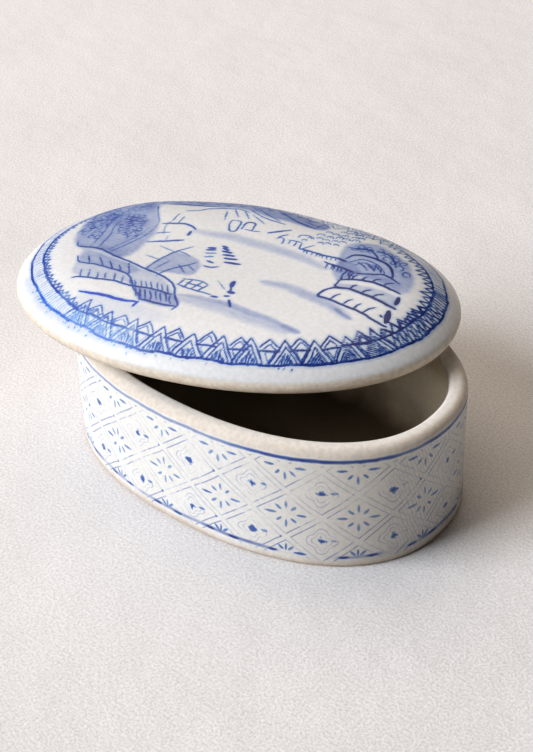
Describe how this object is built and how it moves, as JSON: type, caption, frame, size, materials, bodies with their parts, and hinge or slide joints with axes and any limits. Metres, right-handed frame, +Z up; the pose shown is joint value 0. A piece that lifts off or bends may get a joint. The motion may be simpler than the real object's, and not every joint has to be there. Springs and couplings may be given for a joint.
{
  "type": "trinket box",
  "caption": "Oval porcelain trinket box with a loose crowned lid, blue hand painting and an unglazed rim, shown half open.",
  "frame": {"origin": "centre of the base's flat foot", "axes": "+Z up, +X along the base's long axis, -Y towards the side where the box stands open"},
  "size_m": [0.1251, 0.0851, 0.0503],
  "materials": {
    "base_porcelain": "soft glaze over pale blue painting, bare rim and foot",
    "lid_porcelain": "soft glaze over strong blue painting, bare edge underneath"
  },
  "bodies": {
    "base": {"box_base": "base_porcelain"},
    "lid": {"lid": "lid_porcelain"}
  },
  "joints": [
    {"name": "lid_lift", "type": "slide", "parent": "base", "child": "lid", "axis": [0, 0, 1], "range_m": [0, 0.06]}
  ]
}
